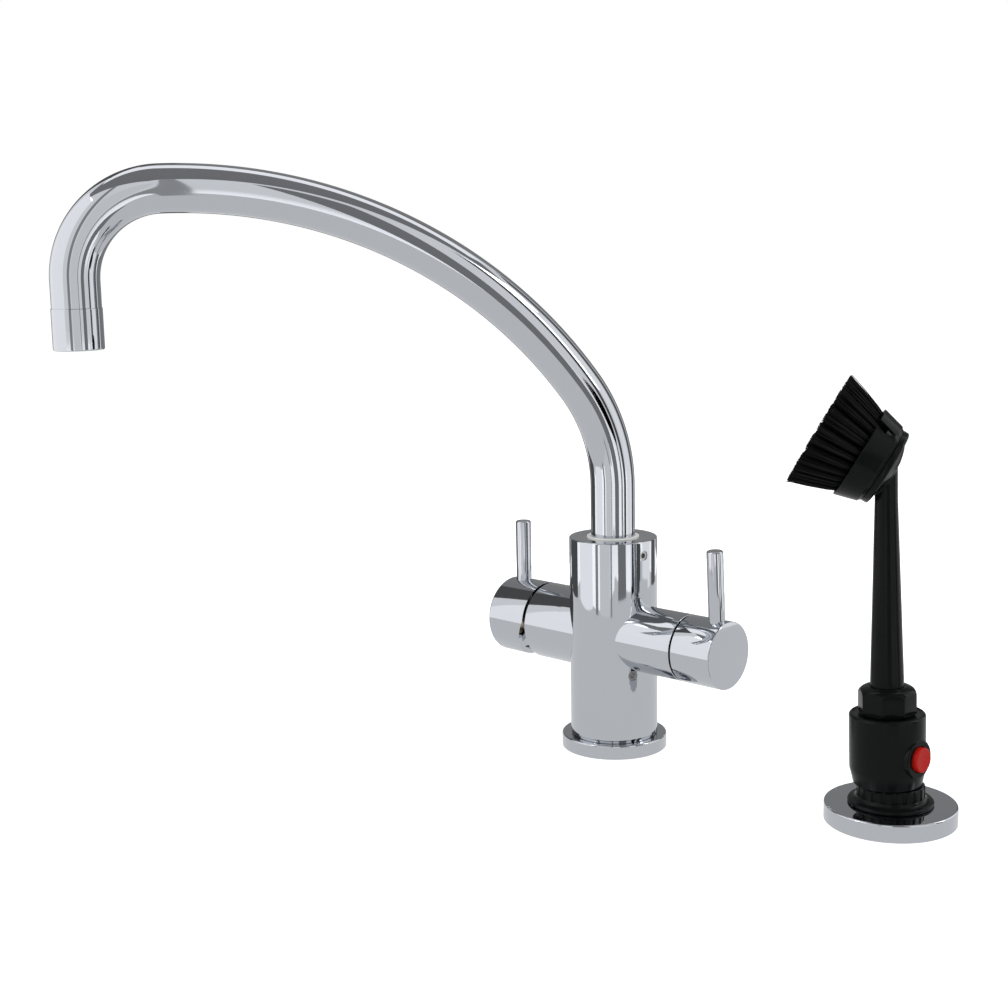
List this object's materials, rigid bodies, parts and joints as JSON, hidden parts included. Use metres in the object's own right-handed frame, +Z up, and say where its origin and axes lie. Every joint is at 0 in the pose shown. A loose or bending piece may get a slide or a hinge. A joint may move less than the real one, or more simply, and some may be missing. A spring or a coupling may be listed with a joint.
{
  "type": "side spray kitchen faucet",
  "caption": "Kitchen mixer tap with a swivelling swan spout and two side levers, and beside it a push-button rinsing brush that sits in a deck ring.",
  "frame": {"origin": "centre of the tap's base flange on the deck plane", "axes": "+X along the two handles from the tap towards the brush station, -Y towards the user, +Z up out of the deck"},
  "size_m": [0.327, 0.2565, 0.2917],
  "materials": {
    "chrome": "polished chrome plate on brass",
    "brass": "machined",
    "steel": "stainless, plain",
    "rubber": "matt",
    "ceramic": "lapped ceramic",
    "white_plastic": "moulded",
    "black_plastic": "semi-gloss moulded",
    "red_plastic": "semi-gloss moulded",
    "bristle_fibre": "nylon filaments"
  },
  "bodies": {
    "tap": {"base_flange": "chrome", "base_seal": "rubber", "tap_body": "chrome", "spout_lock_screw": "steel", "drill_plug_screw": "steel", "spout_wear_ring": "white_plastic", "cartridge_shell": "white_plastic", "cartridge_seals": "rubber", "fixed_ceramic_disc": "ceramic", "cartridge_nut": "brass", "valve_headwork": "brass", "valve_seat_washer": "rubber", "valve_fixed_disc": "ceramic", "deck_ring": "chrome", "deck_ring_seal": "rubber", "guide_bush": "black_plastic"},
    "spout": {"spout_tube": "chrome", "spout_foot": "brass", "spout_o_ring_low": "rubber", "spout_o_ring_high": "rubber", "aerator_housing": "chrome", "aerator_insert": "white_plastic", "aerator_washer": "rubber"},
    "mixer_turret": {"moving_ceramic_disc": "ceramic", "cartridge_turret": "white_plastic", "tilting_pin": "steel"},
    "mixer_handle": {"cartridge_stem": "steel", "mixer_cap": "chrome", "mixer_lever": "chrome", "mixer_cap_screw": "steel"},
    "valve_handle": {"valve_moving_disc": "ceramic", "valve_spindle": "brass", "spindle_o_ring": "rubber", "valve_cap": "chrome", "valve_lever": "chrome", "valve_cap_screw": "steel"},
    "hose_end": {"hose_nipple": "brass", "nipple_o_ring": "rubber"},
    "spray_hand": {"spray_valve_body": "black_plastic", "button_bezel": "black_plastic", "button_spring": "steel", "union_nut": "black_plastic", "brush_handle": "black_plastic", "head_seal": "rubber", "brush_cup": "black_plastic", "cup_band": "black_plastic", "bristle_plate": "black_plastic", "bristles": "bristle_fibre"},
    "button": {"push_button": "red_plastic"}
  },
  "joints": [
    {"name": "spout_swivel", "type": "hinge", "parent": "tap", "child": "spout", "pos_m": [0, 0, 0.094], "axis": [0, 0, 1], "continuous": true},
    {"name": "mixer_temperature", "type": "hinge", "parent": "tap", "child": "mixer_turret", "pos_m": [-0.038, 0, 0.0582], "axis": [1, 0, 0], "range_deg": [-45, 45]},
    {"name": "mixer_flow", "type": "hinge", "parent": "mixer_turret", "child": "mixer_handle", "pos_m": [-0.038, 0, 0.0582], "axis": [0, -1, 0], "range_deg": [0, 20]},
    {"name": "valve_turn", "type": "hinge", "parent": "tap", "child": "valve_handle", "pos_m": [0.048, 0, 0.0582], "axis": [1, 0, 0], "range_deg": [0, 90]},
    {"name": "spray_lift", "type": "slide", "parent": "tap", "child": "hose_end", "axis": [-0.022, -0.0126, 0.9997], "range_m": [0, 0.15]},
    {"name": "spray_turn", "type": "hinge", "parent": "hose_end", "child": "spray_hand", "pos_m": [0.1592, -0.00375, 0.0175], "axis": [-0.022, -0.0126, 0.9997], "continuous": true},
    {"name": "button_press", "type": "slide", "parent": "spray_hand", "child": "button", "axis": [-0.996, 0.0873, -0.0208], "range_m": [0, 0.002], "stiffness_N_per_m": 800, "springref_m": -0.002, "deforming": ["button_spring"]}
  ]
}
